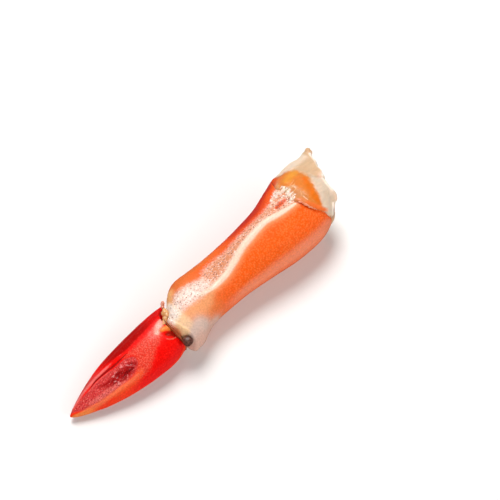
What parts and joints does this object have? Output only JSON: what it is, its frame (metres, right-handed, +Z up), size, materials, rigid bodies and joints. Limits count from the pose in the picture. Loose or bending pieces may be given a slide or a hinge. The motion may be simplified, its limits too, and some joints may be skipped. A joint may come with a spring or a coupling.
{
  "type": "crab claw meat",
  "caption": "Cooked crab claw lying on its side: glossy red pincer finger, orange speckled shell sleeve, and pale meat standing out of the sleeve's torn open end.",
  "frame": {"origin": "middle of the claw's footprint, on the surface it lies on", "axes": "+X along the claw from the finger tip towards the torn meat, +Z up out of the shown side, -Y towards the claw's convex edge"},
  "size_m": [0.1055, 0.0245, 0.0185],
  "materials": {
    "finger_red": "wet glossy cooked crab shell, red with a crimson field and an orange edge",
    "sleeve_orange": "satin cooked crab shell, orange with fine pits, cream at the knuckle",
    "meat_cream": "moist cooked crab meat, cream with a yellow-orange patch",
    "membrane_tan": "moist brown-orange hinge membrane",
    "bead_cream": "smooth cream shell",
    "bead_grey": "smooth grey-brown shell"
  },
  "bodies": {
    "root": {"finger_shell": "finger_red", "palm_shell": "sleeve_orange", "palm_meat": "meat_cream", "hinge_membrane": "membrane_tan", "hinge_bead_left": "bead_cream", "hinge_bead_right": "bead_grey"}
  },
  "joints": []
}
